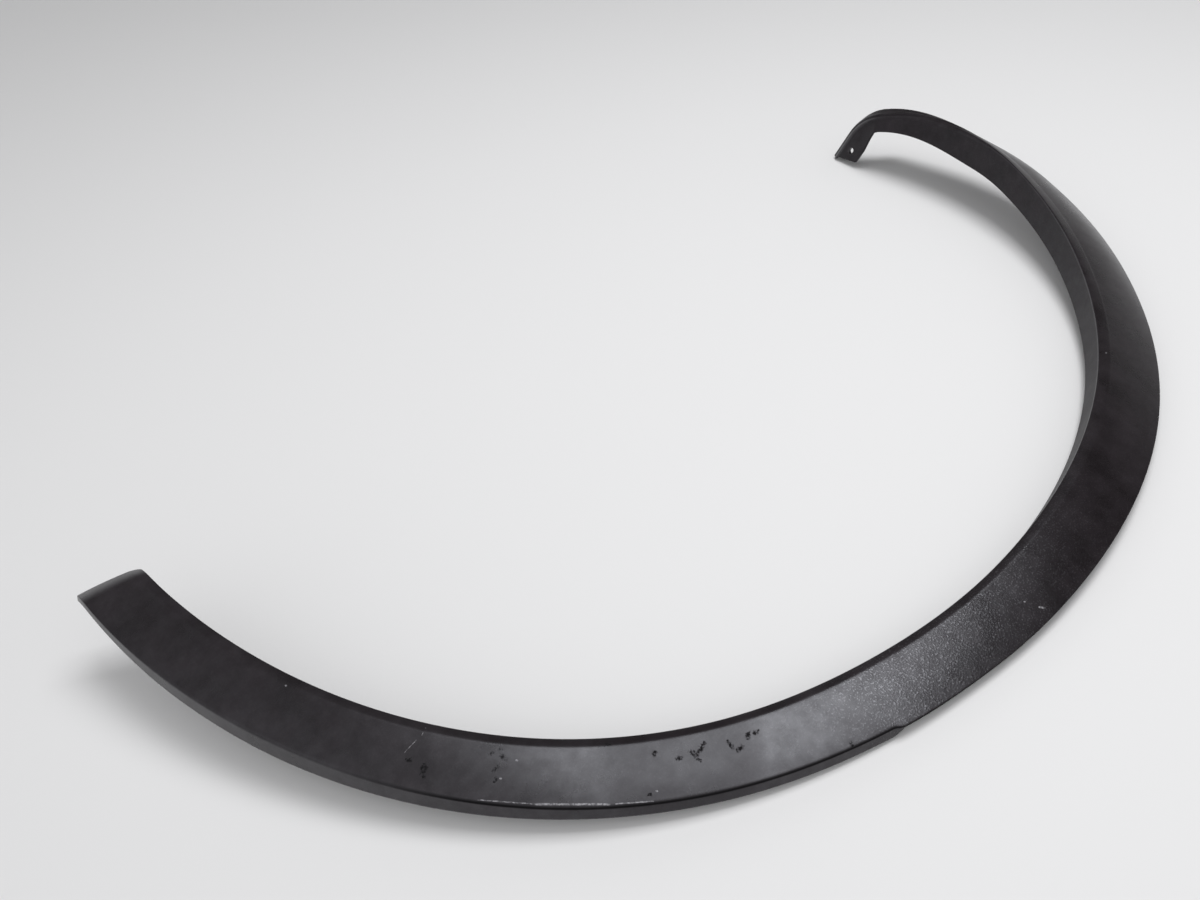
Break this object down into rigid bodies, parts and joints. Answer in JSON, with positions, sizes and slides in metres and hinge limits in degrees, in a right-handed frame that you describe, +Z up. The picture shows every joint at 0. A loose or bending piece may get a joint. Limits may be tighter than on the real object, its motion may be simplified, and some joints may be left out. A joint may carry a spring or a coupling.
{
  "type": "wheel arch trim",
  "caption": "Black plastic wheel arch trim: a half-round moulding with a sloping face, inner flange, outer return wall and a curled fixing foot, lying face up.",
  "frame": {"origin": "middle of the box around the trim, at the table it lies on", "axes": "+Z up out of the face side, which is the outboard side on the car; +Y toward the top of the wheel arch; +X toward the slanted tip and -X toward the curled foot"},
  "size_m": [0.7564, 0.4162, 0.0629],
  "materials": {
    "black_plastic": "fine grained satin black, worn and scuffed"
  },
  "bodies": {
    "root": {"wheel_arch_trim": "black_plastic"}
  },
  "joints": []
}
